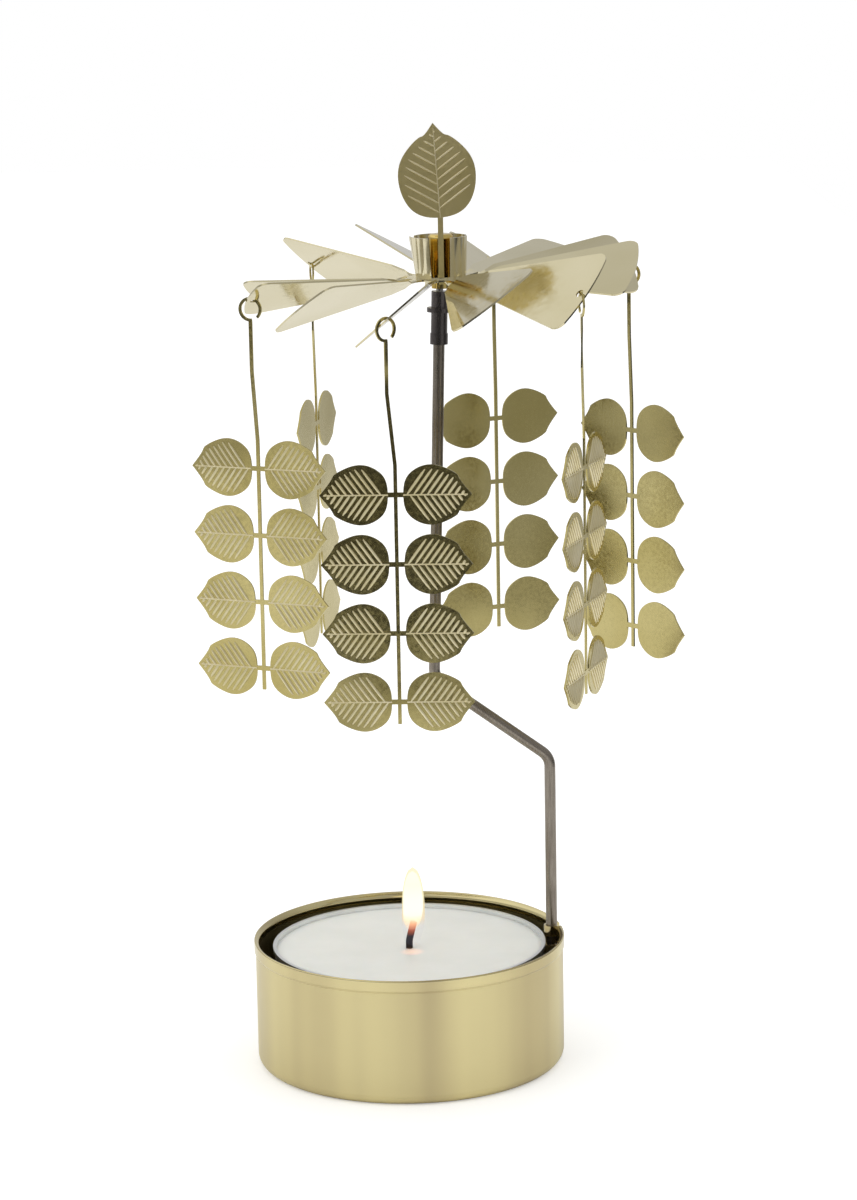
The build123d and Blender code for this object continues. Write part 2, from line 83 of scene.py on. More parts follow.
def add(tree, kind, inputs=None, **settings):
    """Add a node: settings are its properties, inputs its sockets by name or number."""
    made = tree.nodes.new(kind)
    for name, value in settings.items():
        setattr(made, name, value)
    for key, value in (inputs or {}).items():
        socket = made.inputs[key]
        if isinstance(value, bpy.types.NodeSocket):
            tree.links.new(value, socket)
        else:
            socket.default_value = value
    return made


def new_material(name):
    """A material with only a Principled shader; returns it, its tree and the shader."""
    material = bpy.data.materials.new(name)
    material.use_nodes = True
    tree = material.node_tree
    return material, tree, tree.nodes["Principled BSDF"]


def axes_at(x, y, z, place):
    """Matrix that takes the three axes to x, y and z, and the origin to place."""
    return Matrix([(x[i], y[i], z[i], place[i]) for i in range(3)] + [(0, 0, 0, 1)])


print("white is", linear("#ffffff"), "and mid grey", [round(x, 3) for x in linear("#808080")])

# %% [markdown]
# Thin gold-coloured sheet is never perfectly flat or perfectly clean. Three things make
# it look real: the lacquer's tone drifts a little over some centimetres, its gloss
# breaks up at the scale of fingerprints and rolling marks, and the sheet is dented by
# hand in long shallow waves, so that a mirror image in it bends. One function makes all
# of the sheet metals here, with the sizes of those three as real millimetres. Noise
# keeps near its middle, so only the middle of its range is spread over the tones.


# %% Sheet metal
tone_low, tone_high = 0.35, 0.65
mark_low, mark_high = 0.3, 0.7


def sheet_metal(name, pale, deep, gloss, tone_size, mark_size, dent_size, dent_depth, upright=1.0):
    """Metal sheet: two tones, a lowest and highest roughness, and sizes in metres.

    The tone's clouds are 1 / upright times as tall as they are wide.
    """
    material, tree, shader = new_material(name)
    place = add(tree, "ShaderNodeTexCoord").outputs["Object"]
    drawn = add(tree, "ShaderNodeMapping", {"Vector": place, "Scale": (1.0, 1.0, upright)})
    tone = add(
        tree,
        "ShaderNodeTexNoise",
        {"Vector": drawn.outputs["Vector"], "Scale": 1 / tone_size, "Detail": 2.0},
    )
    spread = add(
        tree,
        "ShaderNodeMapRange",
        {"Value": tone.outputs["Fac"], "From Min": tone_low, "From Max": tone_high},
    )
    colour = add(
        tree,
        "ShaderNodeMix",
        {0: spread.outputs["Result"], 6: linear(pale), 7: linear(deep)},
        data_type="RGBA",
    )
    marks = add(tree, "ShaderNodeTexNoise", {"Vector": place, "Scale": 1 / mark_size, "Detail": 1.0})
    rough = add(
        tree,
        "ShaderNodeMapRange",
        {
            "Value": marks.outputs["Fac"],
            "From Min": mark_low,
            "From Max": mark_high,
            "To Min": gloss[0],
            "To Max": gloss[1],
        },
    )
    if dent_depth > 0:
        dents = add(tree, "ShaderNodeTexNoise", {"Vector": place, "Scale": 1 / dent_size, "Detail": 0.0})
        bump = add(tree, "ShaderNodeBump", {"Height": dents.outputs["Fac"], "Distance": dent_depth})
        tree.links.new(bump.outputs["Normal"], shader.inputs["Normal"])
    tree.links.new(colour.outputs[2], shader.inputs["Base Color"])
    tree.links.new(rough.outputs["Result"], shader.inputs["Roughness"])
    shader.inputs["Metallic"].default_value = 1.0
    return material


# Bright lacquered brass: the blades, the crown and the cap mirror their surroundings
wheel_brass = sheet_metal(
    "lacquered_brass_sheet", "#e5dcbc", "#d9cfa8", (0.06, 0.16), 18 * mm, 0.9 * mm, 12 * mm, 0.05 * mm
)
cap_brass = sheet_metal(
    "turned_brass_cap", "#ecd489", "#d8b860", (0.05, 0.12), 3 * mm, 0.3 * mm, 2 * mm, 0.01 * mm
)
# The leaves' sheet is thinner, so it is more bent, and rolling leaves it a little duller
leaf_brass = sheet_metal(
    "etched_brass_leaf", "#d0c388", "#c0b274", (0.13, 0.22), 14 * mm, 0.5 * mm, 8 * mm, 0.13 * mm
)
# The veins' crests are a little rougher than the sheet, and their paler colour is a painted highlight
rib_brass_painted_highlight = sheet_metal(
    "pressed_brass_rib_painted_highlight", "#f6edcd", "#ebe0b8", (0.42, 0.5), 6 * mm, 0.3 * mm, 4 * mm, 0.01 * mm
)
# The leaf on top is handled most, so it is scratched dull and blurs what it mirrors
top_leaf_brass = sheet_metal(
    "dulled_brass_leaf", "#dccd95", "#cdbd80", (0.36, 0.46), 9 * mm, 0.5 * mm, 8 * mm, 0.05 * mm
)
# The tin is drawn and left satin. Its tone runs in faint upright bands of noise, a painted reflection
# of the room's bands. Where a range of roughness crosses 0.27, denoising leaves worm-like marks, so it
# stays above
tin_brass_painted_bands = sheet_metal(
    "satin_brass_tin_painted_bands", "#e8dba6", "#cabb90", (0.285, 0.31), 12 * mm, 3 * mm, 14 * mm, 0.0, 0.05
)
# Rolling the hem burnished it, so the tin mirrors sharply above its wall
hem_foot, hem_round, hem_gloss = 16.4 * mm, 17.0 * mm, 0.35
tree = tin_brass_painted_bands.node_tree
shader = tree.nodes["Principled BSDF"]
satin = shader.inputs["Roughness"].links[0].from_socket
place = add(tree, "ShaderNodeTexCoord").outputs["Object"]
height = add(tree, "ShaderNodeSeparateXYZ", {0: place}).outputs["Z"]
burnish = add(
    tree,
    "ShaderNodeMapRange",
    {"Value": height, "From Min": hem_foot, "From Max": hem_round, "To Min": 1.0, "To Max": hem_gloss},
)
rough = add(tree, "ShaderNodeMath", {0: satin, 1: burnish.outputs["Result"]}, operation="MULTIPLY")
tree.links.new(rough.outputs[0], shader.inputs["Roughness"])
cup_foil = sheet_metal(
    "aluminium_foil_cup", "#eeefee", "#e5e7e7", (0.28, 0.4), 5 * mm, 0.3 * mm, 1.5 * mm, 0.02 * mm
)
plate_tin = sheet_metal(
    "tinplate_wick_plate", "#c9cccc", "#adb0b1", (0.3, 0.45), 4 * mm, 0.4 * mm, 2 * mm, 0.02 * mm
)
print("sheet metals:", [m.name for m in bpy.data.materials if m.use_nodes])

# %% [markdown]
# The rod is drawn steel wire: pulling it through a die leaves fine lines along it, which
# stretch each highlight across it. Noise that is squeezed across the wire and drawn out
# along it gives those lines. The sleeve and its collar are the same steel, darkened, and
# the needle is hard and ground, so it is the brightest of the three.


# %% Drawn steel
line_squeeze, line_relief, cloud_size = 0.03, 0.012 * mm, 6 * mm
pale_below, deep_above = 0.12, 0.4


def drawn_steel(name, pale, deep, gloss, line_width):
    """Steel wire with lines along it, which are line_width wide in metres."""
    material, tree, shader = new_material(name)
    place = add(tree, "ShaderNodeTexCoord").outputs["Object"]
    stretched = add(tree, "ShaderNodeMapping", {"Vector": place, "Scale": (1.0, 1.0, line_squeeze)})
    lines = add(
        tree,
        "ShaderNodeTexNoise",
        {"Vector": stretched.outputs["Vector"], "Scale": 1 / line_width, "Detail": 3.0},
    )
    cloud = add(tree, "ShaderNodeTexNoise", {"Vector": place, "Scale": 1 / cloud_size, "Detail": 3.0})
    blend = add(
        tree, "ShaderNodeMath", {0: lines.outputs["Fac"], 1: cloud.outputs["Fac"]}, operation="MULTIPLY"
    )
    share = add(
        tree,
        "ShaderNodeMapRange",
        {"Value": blend.outputs[0], "From Min": pale_below, "From Max": deep_above},
    )
    colour = add(
        tree,
        "ShaderNodeMix",
        {0: share.outputs["Result"], 6: linear(pale), 7: linear(deep)},
        data_type="RGBA",
    )
    rough = add(
        tree,
        "ShaderNodeMapRange",
        {
            "Value": lines.outputs["Fac"],
            "From Min": mark_low,
            "From Max": mark_high,
            "To Min": gloss[0],
            "To Max": gloss[1],
        },
    )
    bump = add(tree, "ShaderNodeBump", {"Height": lines.outputs["Fac"], "Distance": line_relief})
    tree.links.new(colour.outputs[2], shader.inputs["Base Color"])
    tree.links.new(rough.outputs["Result"], shader.inputs["Roughness"])
    tree.links.new(bump.outputs["Normal"], shader.inputs["Normal"])
    shader.inputs["Metallic"].default_value = 1.0
    return material


rod_steel = drawn_steel("drawn_steel_wire", "#9f978c", "#837a70", (0.2, 0.34), 0.12 * mm)
sleeve_steel = drawn_steel("darkened_steel_sleeve", "#7c7674", "#5f5a5a", (0.16, 0.3), 0.12 * mm)
needle_steel = drawn_steel("hardened_steel_needle", "#b9b8b6", "#9a9896", (0.12, 0.2), 0.08 * mm)
print("steels:", rod_steel.name, sleeve_steel.name, needle_steel.name)

# %% [markdown]
# Paraffin wax lets light in and scatters it, so shadows on it are soft and it never
# looks like paint. Near the burning wick it softens, and its skin is smoother there. A
# roughness that grows with the distance from the wick gives that, and costs no mesh.

# %% Wax
wax_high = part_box("candle_wax")[1]
mottle_size, skin_size, skin_relief = 5 * mm, 1.2 * mm, 0.02 * mm
pool_near, pool_far, pool_gloss, wax_gloss = 1 * mm, 14 * mm, 0.29, 0.5
wax_material, tree, shader = new_material("paraffin_wax")
place = add(tree, "ShaderNodeTexCoord").outputs["Object"]
mottle = add(tree, "ShaderNodeTexNoise", {"Vector": place, "Scale": 1 / mottle_size, "Detail": 3.0})
colour = add(
    tree,
    "ShaderNodeMix",
    {0: mottle.outputs["Fac"], 6: linear("#eeeee9"), 7: linear("#e1e3dd")},
    data_type="RGBA",
)
flat_place = add(tree, "ShaderNodeVectorMath", {0: place, 1: (1, 1, 0)}, operation="MULTIPLY")
from_wick = add(tree, "ShaderNodeVectorMath", {0: flat_place.outputs[0]}, operation="LENGTH")
pool = add(
    tree,
    "ShaderNodeMapRange",
    {
        "Value": from_wick.outputs["Value"],
        "From Min": pool_near,
        "From Max": pool_far,
        "To Min": pool_gloss,
        "To Max": wax_gloss,
    },
    interpolation_type="SMOOTHSTEP",
)
skin = add(tree, "ShaderNodeTexNoise", {"Vector": place, "Scale": 1 / skin_size, "Detail": 4.0})
bump = add(tree, "ShaderNodeBump", {"Height": skin.outputs["Fac"], "Distance": skin_relief})
tree.links.new(colour.outputs[2], shader.inputs["Base Color"])
tree.links.new(pool.outputs["Result"], shader.inputs["Roughness"])
tree.links.new(bump.outputs["Normal"], shader.inputs["Normal"])
# The flame's light on the wax just in front of the wick is painted in as an orange glow
painted_light_middle = (0.4 * mm, -1.9 * mm, wax_high.z)
painted_light_near, painted_light_far, painted_light_strength = 0.3 * mm, 2.1 * mm, 0.42
before_wick = add(tree, "ShaderNodeVectorMath", {0: place, 1: painted_light_middle}, operation="DISTANCE")
painted_flame_light = add(
    tree,
    "ShaderNodeMapRange",
    {
        "Value": before_wick.outputs["Value"],
        "From Min": painted_light_near,
        "From Max": painted_light_far,
        "To Min": painted_light_strength,
        "To Max": 0.0,
    },
    interpolation_type="SMOOTHSTEP",
)
tree.links.new(painted_flame_light.outputs["Result"], shader.inputs["Emission Strength"])
shader.inputs["Emission Color"].default_value = linear("#ee8c42")
shader.inputs["IOR"].default_value = 1.44
shader.inputs["Subsurface Weight"].default_value = 0.35
shader.inputs["Subsurface Radius"].default_value = (1.0, 0.8, 0.6)
shader.inputs["Subsurface Scale"].default_value = 1.2 * mm
print("wax:", wax_material.name)

# %% [markdown]
# The wick is plaited cotton: slanted strands, black where it has burned and glowing
# orange at its top. Both colours follow the height, so two ramps on the same height do
# for its colour and its glow. The strands are drawn coarser than plaited cotton has
# them, so that they show.

# %% Wick
wick_low, wick_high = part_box("wick")
char_foot, strand_rise, strand_relief = wax_high.z - 0.6 * mm, 1.97 * mm, 0.08 * mm
cotton, tree, shader = new_material("charred_cotton_wick")
place = add(tree, "ShaderNodeTexCoord").outputs["Object"]
up_wick = add(tree, "ShaderNodeSeparateXYZ", {0: place}).outputs["Z"]
height = add(
    tree,
    "ShaderNodeMapRange",
    {"Value": up_wick, "From Min": char_foot, "From Max": wick_high.z},
)
char = add(tree, "ShaderNodeValToRGB", {"Fac": height.outputs["Result"]})
char.color_ramp.elements[0].color = linear("#c9a27c")
char.color_ramp.elements[1].color = linear("#a4552a")
for share, tone in ((0.1, "#1d130d"), (0.52, "#17100c"), (0.72, "#7a3a1a")):
    char.color_ramp.elements.new(share).color = linear(tone)
ember = add(tree, "ShaderNodeValToRGB", {"Fac": height.outputs["Result"]})
ember.color_ramp.elements[0].position = 0.5
ember.color_ramp.elements[0].color = (0, 0, 0, 1)
ember.color_ramp.elements[1].color = linear("#d4561e")
# A diagonal wave of scale 1 repeats after tau / 10 up the wick
strands = add(
    tree,
    "ShaderNodeTexWave",
    {"Vector": place, "Scale": math.tau / 10 / strand_rise, "Distortion": 1.5, "Detail": 2.0},
    bands_direction="DIAGONAL",
)
bump = add(tree, "ShaderNodeBump", {"Height": strands.outputs["Fac"], "Distance": strand_relief})
tree.links.new(char.outputs["Color"], shader.inputs["Base Color"])
tree.links.new(ember.outputs["Color"], shader.inputs["Emission Color"])
tree.links.new(bump.outputs["Normal"], shader.inputs["Normal"])
shader.inputs["Emission Strength"].default_value = 0.9
shader.inputs["Roughness"].default_value = 0.85
print("wick stands", round((wick_high.z - wax_high.z) / mm, 2), "mm out of the wax")

# %% [markdown]
# Each CAD part gets its finish through its own material slot, so its shape stays exactly
# what CAD made.

# %% Finishes of the CAD parts
finishes = {
    "base_tin": tin_brass_painted_bands,
    "support_rod": rod_steel,
    "spindle_sleeve": sleeve_steel,
    "spindle_collar": sleeve_steel,
    "pivot_needle": needle_steel,
    "fan_wheel": wheel_brass,
    "hub_crown": wheel_brass,
    "bearing_cap": cap_brass,
    "finial_leaf": top_leaf_brass,
    "tealight_cup": cup_foil,
    "wick_plate": plate_tin,
    "candle_wax": wax_material,
    "wick": cotton,
}
for number in range(1, 7):
    finishes[f"leaf_string_{number}"] = leaf_brass
for name, part in parts.items():
    part.data.materials.clear()
    part.data.materials.append(finishes[name])
print("dressed:", sorted(finishes))

# %% [markdown]
# ## Veins
# The veins are pressed into the sheet and stand proud of one side of each leaf. On a
# leaf they repeat by a rule: ribs at an even pitch leave the midrib at one slant, and
# each ends just inside the margin. That is a job for Geometry Nodes. One tree lays the
# ribs of one leaf as curves, gives them a round profile whose lower half sinks into the
# sheet, and then sets that leaf in rows and pairs. Its sizes are named inputs, so the
# same tree serves the strings' small leaves and the large leaf on top.


# %% Leaf outlines
leaf_length, leaf_width, leaf_slant, leaf_margin = 9.17 * mm, 8.0 * mm, math.radians(54), 0.55 * mm
top_length, top_width, top_slant, top_margin = 13.0 * mm, 10.7 * mm, math.radians(57), 0.75 * mm
# Outlines of one half: (share of the leaf's length, share of its half width)
small_outline = ((0, 0), (0.03, 0.42), (0.08, 0.68), (0.25, 0.95), (0.5, 0.99), (0.77, 0.71), (1, 0))
large_outline = ((0, 0), (0.05, 0.5), (0.13, 0.77), (0.42, 1), (0.67, 0.84), (0.86, 0.36), (1, 0))
print("leaf lengths:", round(leaf_length / mm, 2), "and", round(top_length / mm, 2), "mm")


# %% Where a rib meets the margin
reach_steps = 400


def half_width(shares, along):
    """Share of the half width that a leaf has at a share of its length."""
    for (x0, y0), (x1, y1) in zip(shares, shares[1:]):
        if along <= x1:
            return y0 + (y1 - y0) * (along - x0) / (x1 - x0)
    return 0.0


def rib_reach(shares, length, width, slant, root, margin):
    """Length of the rib that leaves the midrib at root and stops a margin short."""
    reach = 0.0
    while reach < width:
        x = root * length + (reach + margin) * math.cos(slant)
        y = (reach + margin) * math.sin(slant)
        if y > half_width(shares, x / length) * width / 2:
            return reach
        reach += width / reach_steps
    return reach


middle_rib = rib_reach(small_outline, leaf_length, leaf_width, leaf_slant, 0.4, leaf_margin)
print("rib near a small leaf's middle:", round(middle_rib / mm, 2), "mm")

# %% [markdown]
# The tree works on one half of a leaf at a time. A line of points gives the roots along
# the midrib, and a float curve holds how far a rib can reach from each root before it
# meets the margin. It was filled from the outline above, because a tree can't measure
# that by itself. The other half is the same with the slant turned over and the roots
# slipped by half a pitch, as the leaves have it.

# %% The tree that makes the ribs
first_root, root_span, midrib_end = 0.05, 0.8, 0.94
rib_points, midrib_points, profile_sides = 7, 12, 8
# Thickness of a rib along it: thinner towards both ends, as a pressed rib is
end_size = 0.4
rib_sizes = ((0.1, 0.8), (0.3, 0.97), (0.5, 1.0), (0.7, 0.97), (0.9, 0.8))


def vein_tree(name, outline, slant, margin, length, width):
    """Geometry Nodes tree of a leaf's ribs, set out in rows and pairs."""
    tree = bpy.data.node_groups.new(name, "GeometryNodeTree")
    tree.interface.new_socket("Geometry", in_out="OUTPUT", socket_type="NodeSocketGeometry")
    sizes = (
        ("Leaf Length", "NodeSocketFloat"),
        ("Leaf Width", "NodeSocketFloat"),
        ("Ribs Each Side", "NodeSocketInt"),
        ("Rib Radius", "NodeSocketFloat"),
        ("Midrib Share", "NodeSocketFloat"),
        ("Slant", "NodeSocketFloat"),
        ("Rows", "NodeSocketInt"),
        ("Row Pitch", "NodeSocketFloat"),
        ("Leaf Gap", "NodeSocketFloat"),
        ("Sides", "NodeSocketInt"),
        ("Metal", "NodeSocketMaterial"),
    )
    for title, kind in sizes:
        tree.interface.new_socket(title, in_out="INPUT", socket_type=kind)
    given = add(tree, "NodeGroupInput").outputs
    index = add(tree, "GeometryNodeInputIndex").outputs[0]

    last = add(tree, "ShaderNodeMath", {0: given["Ribs Each Side"], 1: 1.0}, operation="SUBTRACT")
    ribs = []
    for turn, slip in ((1, 0.0), (-1, 0.5)):
        # Roots of one half's ribs; the other half's are slipped by half a pitch
        count = add(tree, "ShaderNodeMath", {0: index, 1: slip}, operation="ADD")
        share = add(
            tree, "ShaderNodeMath", {0: count.outputs[0], 1: last.outputs[0]}, operation="DIVIDE"
        ).outputs[0]
        root = add(
            tree, "ShaderNodeMath", {0: share, 1: root_span, 2: first_root}, operation="MULTIPLY_ADD"
        ).outputs[0]
        curve = add(tree, "ShaderNodeFloatCurve", {"Value": root})
        points = curve.mapping.curves[0].points
        stops = [i / 10 for i in range(11)]
        reaches = [rib_reach(outline, length, width, slant, stop, margin) / width for stop in stops]
        points[0].location = (0.0, reaches[0])
        points[1].location = (1.0, reaches[-1])
        for stop, reach in zip(stops[1:-1], reaches[1:-1]):
            points.new(stop, reach)
        for point in points:
            point.handle_type = "VECTOR"
        curve.mapping.update()
        reach = add(
            tree, "ShaderNodeMath", {0: curve.outputs[0], 1: given["Leaf Width"]}, operation="MULTIPLY"
        ).outputs[0]
        line = add(tree, "GeometryNodeMeshLine", {"Count": given["Ribs Each Side"]})
        x = add(tree, "ShaderNodeMath", {0: root, 1: given["Leaf Length"]}, operation="MULTIPLY")
        at = add(tree, "ShaderNodeCombineXYZ", {"X": x.outputs[0]}).outputs[0]
        placed = add(tree, "GeometryNodeSetPosition", {"Geometry": line.outputs[0], "Position": at})
        rib = add(tree, "GeometryNodeCurvePrimitiveLine", {"End": (1.0, 0.0, 0.0)})
        rib = add(tree, "GeometryNodeResampleCurve", {"Curve": rib.outputs[0], "Count": rib_points})
        angle = add(tree, "ShaderNodeMath", {0: given["Slant"], 1: float(turn)}, operation="MULTIPLY")
        spin = add(tree, "ShaderNodeCombineXYZ", {"Z": angle.outputs[0]}).outputs[0]
        scale = add(tree, "ShaderNodeCombineXYZ", {"X": reach, "Y": 1.0, "Z": 1.0}).outputs[0]
        made = add(
            tree,
            "GeometryNodeInstanceOnPoints",
            {"Points": placed.outputs[0], "Instance": rib.outputs[0], "Rotation": spin, "Scale": scale},
        )
        ribs.append(made.outputs[0])
    # The midrib runs almost to the point
    far = add(tree, "ShaderNodeMath", {0: given["Leaf Length"], 1: midrib_end}, operation="MULTIPLY")
    end = add(tree, "ShaderNodeCombineXYZ", {"X": far.outputs[0]}).outputs[0]
    midrib = add(tree, "GeometryNodeCurvePrimitiveLine", {"End": end})
    midrib = add(
        tree, "GeometryNodeResampleCurve", {"Curve": midrib.outputs[0], "Count": midrib_points}
    )
    joined = add(tree, "GeometryNodeJoinGeometry")
    for piece in ribs:
        tree.links.new(piece, joined.inputs[0])
    loose = add(tree, "GeometryNodeRealizeInstances", {"Geometry": joined.outputs[0]})
    along = add(tree, "GeometryNodeSplineParameter").outputs["Factor"]
    arch = add(tree, "ShaderNodeFloatCurve", {"Value": along})
    points = arch.mapping.curves[0].points
    points[0].location = (0.0, end_size)
    points[1].location = (1.0, end_size)
    for stop, size in rib_sizes:
        points.new(stop, size)
    arch.mapping.update()
    profile = add(
        tree,
        "GeometryNodeCurvePrimitiveCircle",
        {"Resolution": profile_sides, "Radius": given["Rib Radius"]},
    )
    tubes = add(tree, "GeometryNodeJoinGeometry")
    for curve, size in ((loose.outputs[0], arch.outputs[0]), (midrib.outputs[0], given["Midrib Share"])):
        tube = add(
            tree,
            "GeometryNodeCurveToMesh",
            {"Curve": curve, "Profile Curve": profile.outputs[0], "Scale": size, "Fill Caps": True},
        )
        tree.links.new(tube.outputs[0], tubes.inputs[0])
    # Rows and pairs of leaves
    leaves = add(tree, "GeometryNodeJoinGeometry")
    for side in (0, 1):
        row = add(tree, "ShaderNodeMath", {0: index, 1: given["Row Pitch"]}, operation="MULTIPLY")
        shift = add(tree, "ShaderNodeMath", {0: given["Leaf Gap"], 1: 0.5 - side}, operation="MULTIPLY")
        at = add(tree, "ShaderNodeCombineXYZ", {"X": shift.outputs[0], "Y": row.outputs[0]}).outputs[0]
        wanted = add(
            tree, "ShaderNodeMath", {0: given["Sides"], 1: side + 0.5}, operation="GREATER_THAN"
        ).outputs[0]
        count = add(
            tree, "ShaderNodeMath", {0: given["Rows"], 1: wanted}, operation="MULTIPLY"
        ).outputs[0]
        line = add(tree, "GeometryNodeMeshLine", {"Count": count})
        placed = add(tree, "GeometryNodeSetPosition", {"Geometry": line.outputs[0], "Position": at})
        set_out = add(
            tree,
            "GeometryNodeInstanceOnPoints",
            {
                "Points": placed.outputs[0],
                "Instance": tubes.outputs[0],
                "Rotation": (0.0, 0.0, math.pi * side),
            },
        )
        tree.links.new(set_out.outputs[0], leaves.inputs[0])
    real = add(tree, "GeometryNodeRealizeInstances", {"Geometry": leaves.outputs[0]})
    metal = add(
        tree, "GeometryNodeSetMaterial", {"Geometry": real.outputs[0], "Material": given["Metal"]}
    )
    add(tree, "NodeGroupOutput", {0: metal.outputs[0]})
    return tree


def set_out_veins(name, tree, values, place):
    """Plain mesh object of the tree's veins with these inputs, moved to its place."""
    holder = bpy.data.objects.new(name, bpy.data.meshes.new(name))
    bpy.context.scene.collection.objects.link(holder)
    modifier = holder.modifiers.new("veins", "NODES")
    modifier.node_group = tree
    for item in tree.interface.items_tree:
        if item.in_out == "INPUT":
            modifier[item.identifier] = values[item.name]
    bpy.context.view_layer.update()
    made = bpy.data.meshes.new_from_object(holder.evaluated_get(bpy.context.evaluated_depsgraph_get()))
    holder.modifiers.remove(modifier)
    holder.data = made
    made.transform(place)
    made.shade_smooth()
    return holder


# %% [markdown]
# The strings hang where CAD put them, so each one's plane is measured from its own
# mesh: the direction in which the points of its rows spread most, seen from above, is
# that of the leaves, and the points that reach farthest that way are the leaves' tips,
# which give the rows' heights. The veined side faces away from the wheel's axis.

# %% Veins of the strings
row_pitch, leaf_gap = 9.44 * mm, 2.05 * mm
rows, tip_reach = 4, 0.05 * mm
small_veins = vein_tree(
    "small_leaf_veins", small_outline, leaf_slant, leaf_margin, leaf_length, leaf_width
)
up = Vector((0, 0, 1))
hub_low, hub_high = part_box("hub_crown")
hub_middle = (hub_low + hub_high) / 2
small_sizes = {
    "Leaf Length": leaf_length,
    "Leaf Width": leaf_width,
    "Ribs Each Side": 9,
    "Rib Radius": 0.19 * mm,
    "Midrib Share": 0.55,
    "Slant": leaf_slant,
    "Rows": rows,
    "Row Pitch": row_pitch,
    "Leaf Gap": leaf_gap,
    "Sides": 2,
    # The veins take the paler brass, whose colour is a painted highlight
    "Metal": rib_brass_painted_highlight,
}
for number in range(1, 7):
    points = [v.co for v in parts[f"leaf_string_{number}"].data.vertices]
    foot_height = min(p.z for p in points)
    low = [p for p in points if p.z < foot_height + rows * row_pitch]
    middle = sum(low, Vector()) / len(low)
    xx = sum((p.x - middle.x) ** 2 for p in low)
    yy = sum((p.y - middle.y) ** 2 for p in low)
    xy = sum((p.x - middle.x) * (p.y - middle.y) for p in low)
    angle = 0.5 * math.atan2(2 * xy, xx - yy)
    across = Vector((math.cos(angle), math.sin(angle), 0))
    face = across.cross(up)
    if face.dot(middle - hub_middle) < 0:
        across, face = -across, -face
    reach = [p.dot(across) for p in low]
    depth = [p.dot(face) for p in low]
    tips = [p.z for p, r in zip(low, reach) if r > max(reach) - tip_reach]
    first = across * (max(reach) + min(reach)) / 2 + face * max(depth)
    first.z = min(tips)
    place = axes_at(across, up, face, first)
    veins = set_out_veins(f"leaf_string_{number}_veins", small_veins, small_sizes, place)
    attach(veins, f"string_{number}")
    gap = (max(reach) - min(reach) - 2 * leaf_length) / mm
    print(veins.name, "turned", round(math.degrees(angle), 1), "leaf gap", round(gap, 2))

# %% [markdown]
# The leaf on top stands upright and leans a little to the left, with its veins towards
# the viewer. It is one leaf instead of four pairs, so the same tree gets one row, one
# side and larger sizes. Its tip is found in the CAD mesh, and the lean leads from there
# down to where the midrib starts.

# %% Veins of the leaf on top
lean = math.radians(3.8)
large_veins = vein_tree(
    "large_leaf_veins", large_outline, top_slant, top_margin, top_length, top_width
)
tip = max((v.co for v in parts["finial_leaf"].data.vertices), key=lambda p: p.z)
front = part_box("finial_leaf")[0].y
along = Vector((-math.sin(lean), 0, math.cos(lean)))
side = Vector((math.cos(lean), 0, math.sin(lean)))
base = Vector((tip.x, front, tip.z)) - along * top_length
place = axes_at(along, -side, Vector((0, -1, 0)), base)
large_sizes = dict(small_sizes)
large_sizes.update(
    {
        "Leaf Length": top_length,
        "Leaf Width": top_width,
        "Rib Radius": 0.15 * mm,
        "Slant": top_slant,
        "Rows": 1,
        "Row Pitch": 0.0,
        "Leaf Gap": 0.0,
        "Sides": 1,
    }
)
top_veins = set_out_veins("finial_leaf_veins", large_veins, large_sizes, place)
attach(top_veins, "rotor")
print(top_veins.name, "faces", len(top_veins.data.polygons))

# %% [markdown]
# ## Flame
# A flame has no surface, but it reads as two nested drops: a bright, almost white core,
# and a thin veil around it that is blue and clear at the foot and yellow higher up. Each
# drop is a lathed mesh whose opacity and colour change with height. It rides on the
# tealight, so it goes where the candle goes.


# %% Flame shape
rings, around = 22, 28
# A drop is widest below its middle, and leans up to this share of its height
low_belly, fullness, bend_end = 0.85, 2.2, 0.6


def flame_drop(name, low, high, radius, lean_x, material):
    """Closed drop between two heights on the wick, which leans lean_x aside."""
    mesh = bpy.data.meshes.new(name)
    bm = bmesh.new()
    middle_x = (wick_low.x + wick_high.x) / 2
    circles = []
    for ring in range(1, rings):
        share = ring / rings
        size = radius * math.sqrt(1 - abs(2 * share**low_belly - 1) ** fullness)
        x = middle_x + lean_x * math.sin(math.pi * min(share, bend_end))
        z = low + (high - low) * share
        turns = [2 * math.pi * i / around for i in range(around)]
        circles.append([bm.verts.new((x + size * math.cos(t), size * math.sin(t), z)) for t in turns])
    foot = bm.verts.new((middle_x, 0, low))
    point = bm.verts.new((middle_x + lean_x * math.sin(math.pi * bend_end), 0, high))
    for lower, upper in zip(circles, circles[1:]):
        for i in range(around):
            j = (i + 1) % around
            bm.faces.new((lower[i], lower[j], upper[j], upper[i]))
    for i in range(around):
        j = (i + 1) % around
        bm.faces.new((foot, circles[0][j], circles[0][i]))
        bm.faces.new((point, circles[-1][i], circles[-1][j]))
    bm.to_mesh(mesh)
    bm.free()
    mesh.shade_smooth()
    mesh.materials.append(material)
    drop = bpy.data.objects.new(name, mesh)
    bpy.context.scene.collection.objects.link(drop)
    return drop


